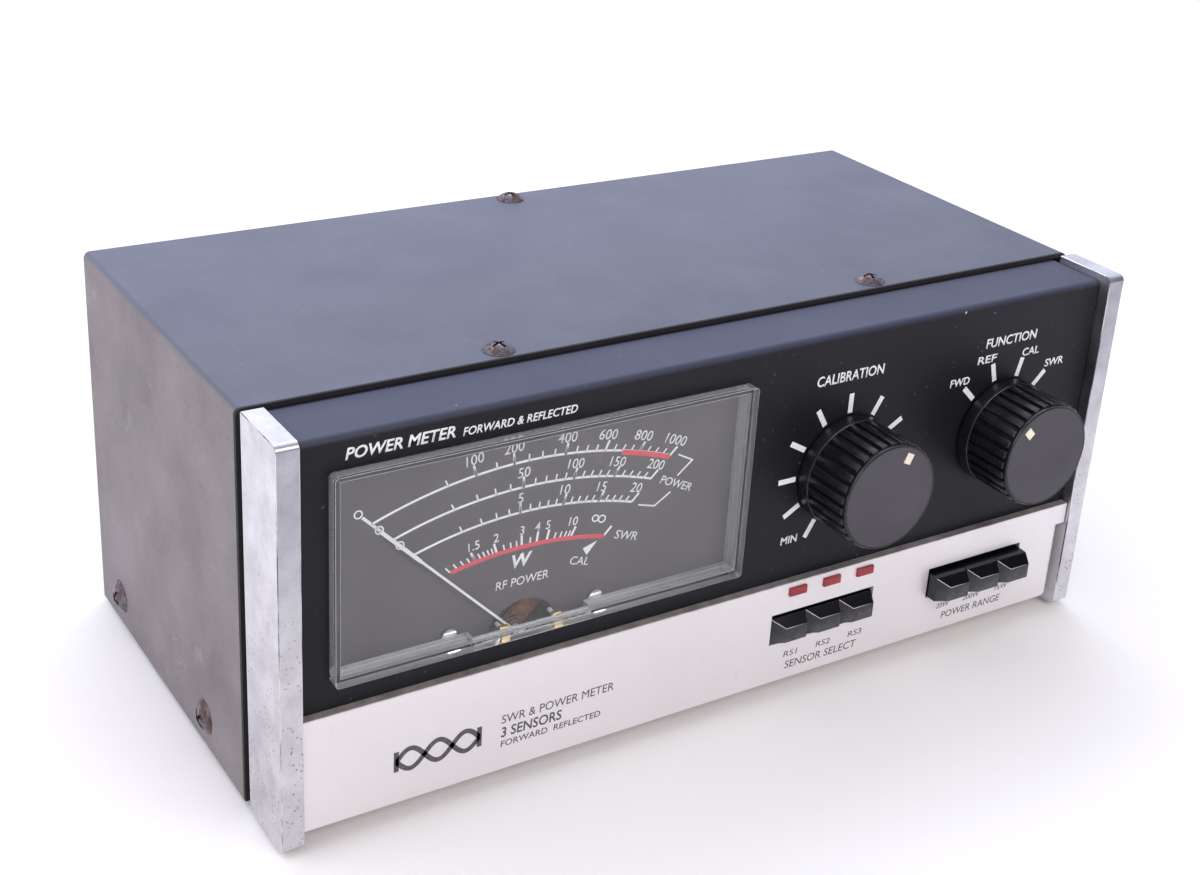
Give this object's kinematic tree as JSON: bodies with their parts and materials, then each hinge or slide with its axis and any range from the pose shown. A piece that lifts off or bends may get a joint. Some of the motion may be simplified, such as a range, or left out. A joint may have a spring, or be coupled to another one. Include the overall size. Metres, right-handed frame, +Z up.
{
  "type": "swr and power meter",
  "caption": "Bench meter for radio forward and reflected power, with a moving-coil dial, calibration and function knobs, push-key banks and rear coax sockets.",
  "frame": {"origin": "centre of the overall box at the level the feet stand on", "axes": "+X to the right seen from the front, +Y from the front panel to the back, +Z up"},
  "size_m": [0.2542, 0.1571, 0.1066],
  "materials": {
    "grey_paint": "matt bluish grey paint, scuffed",
    "dark_paint": "satin black paint",
    "plain_steel": "plated steel",
    "silver_fascia": "satin anodised",
    "trim_chrome": "satin chrome, lightly pitted",
    "rusty_screw": "tarnished, some rust",
    "foot_rubber": "matt",
    "clear_acrylic": "clear moulded acrylic",
    "dial_grey": "matt dark grey with white and red print",
    "pointer_white": "white lacquer",
    "coil_copper": "enamelled copper wire",
    "brass": "satin",
    "iron": "plain",
    "black_bakelite": "satin",
    "knob_plastic": "satin black",
    "knob_inlay": "dark warm grey anodised",
    "cream_mark": "satin",
    "key_plastic": "semi-gloss black",
    "switch_body": "plain",
    "led_red": "tinted diffuse",
    "board_laminate": "glass and resin laminate",
    "socket_insulator": "plain"
  },
  "bodies": {
    "housing": {"cover": "grey_paint", "chassis": "plain_steel", "rear_panel": "dark_paint", "front_frame": "dark_paint", "black_panel": "dark_paint", "silver_panel": "silver_fascia", "trim_left": "trim_chrome", "trim_right": "trim_chrome", "trim_screws": "plain_steel", "cover_top_screws": "rusty_screw", "cover_side_screws": "rusty_screw", "feet": "foot_rubber", "foot_screws": "plain_steel", "meter_cover": "clear_acrylic", "meter_case": "black_bakelite", "dial_plate": "dial_grey", "dial_screws": "trim_chrome", "hairspring": "brass", "meter_core": "iron", "meter_magnets": "iron", "meter_yoke": "iron", "bridge_front": "brass", "bridge_rear": "brass", "jewel_screws": "plain_steel", "pointer_stops": "pointer_white", "cal_pot": "plain_steel", "cal_nut": "plain_steel", "func_switch": "switch_body", "func_nut": "plain_steel", "bank_sensor": "switch_body", "bank_range": "switch_body", "leds": "led_red", "main_board": "board_laminate", "standoffs": "plain_steel", "couplers": "plain_steel", "sockets_uhf": "trim_chrome", "sockets_n": "trim_chrome", "socket_inserts": "socket_insulator", "socket_screws": "plain_steel", "dc_jack": "black_bakelite", "ground_post": "plain_steel"},
    "cal_knob": {"cal_knob": "knob_plastic", "cal_disc": "knob_inlay", "cal_mark": "cream_mark", "cal_grub": "plain_steel", "cal_shaft": "plain_steel"},
    "func_knob": {"func_knob": "knob_plastic", "func_disc": "knob_inlay", "func_mark": "cream_mark", "func_grub": "plain_steel", "func_shaft": "plain_steel"},
    "movement": {"pointer": "pointer_white", "moving_coil": "coil_copper"},
    "ground_nut": {"ground_nut": "brass"},
    "key_rs1": {"key_rs1": "key_plastic"},
    "key_rs2": {"key_rs2": "key_plastic"},
    "key_rs3": {"key_rs3": "key_plastic"},
    "key_20w": {"key_20w": "key_plastic"},
    "key_200w": {"key_200w": "key_plastic"},
    "key_1kw": {"key_1kw": "key_plastic"}
  },
  "joints": [
    {"name": "calibration_turn", "type": "hinge", "parent": "housing", "child": "cal_knob", "pos_m": [0.0334, -0.069, 0.0646], "axis": [0, 1, 0], "range_deg": [-175, 125]},
    {"name": "function_turn", "type": "hinge", "parent": "housing", "child": "func_knob", "pos_m": [0.0881, -0.069, 0.0646], "axis": [0, 1, 0], "range_deg": [0, 90]},
    {"name": "pointer_turn", "type": "hinge", "parent": "housing", "child": "movement", "pos_m": [-0.059, -0.053, 0.037], "axis": [0, 1, 0], "range_deg": [0, 91], "stiffness_Nm_per_rad": 0.002},
    {"name": "press_rs1", "type": "slide", "parent": "housing", "child": "key_rs1", "axis": [0, 1, 0], "range_m": [0, 0.003]},
    {"name": "press_rs2", "type": "slide", "parent": "housing", "child": "key_rs2", "axis": [0, 1, 0], "range_m": [0, 0.003]},
    {"name": "press_rs3", "type": "slide", "parent": "housing", "child": "key_rs3", "axis": [0, 1, 0], "range_m": [0, 0.003]},
    {"name": "press_20w", "type": "slide", "parent": "housing", "child": "key_20w", "axis": [0, 1, 0], "range_m": [0, 0.003]},
    {"name": "press_200w", "type": "slide", "parent": "housing", "child": "key_200w", "axis": [0, 1, 0], "range_m": [0, 0.003]},
    {"name": "press_1kw", "type": "slide", "parent": "housing", "child": "key_1kw", "axis": [0, 1, 0], "range_m": [0, 0.003]},
    {"name": "ground_nut_turn", "type": "hinge", "parent": "housing", "child": "ground_nut", "pos_m": [-0.106, 0.069, 0.0212], "axis": [0, 1, 0], "continuous": true}
  ]
}
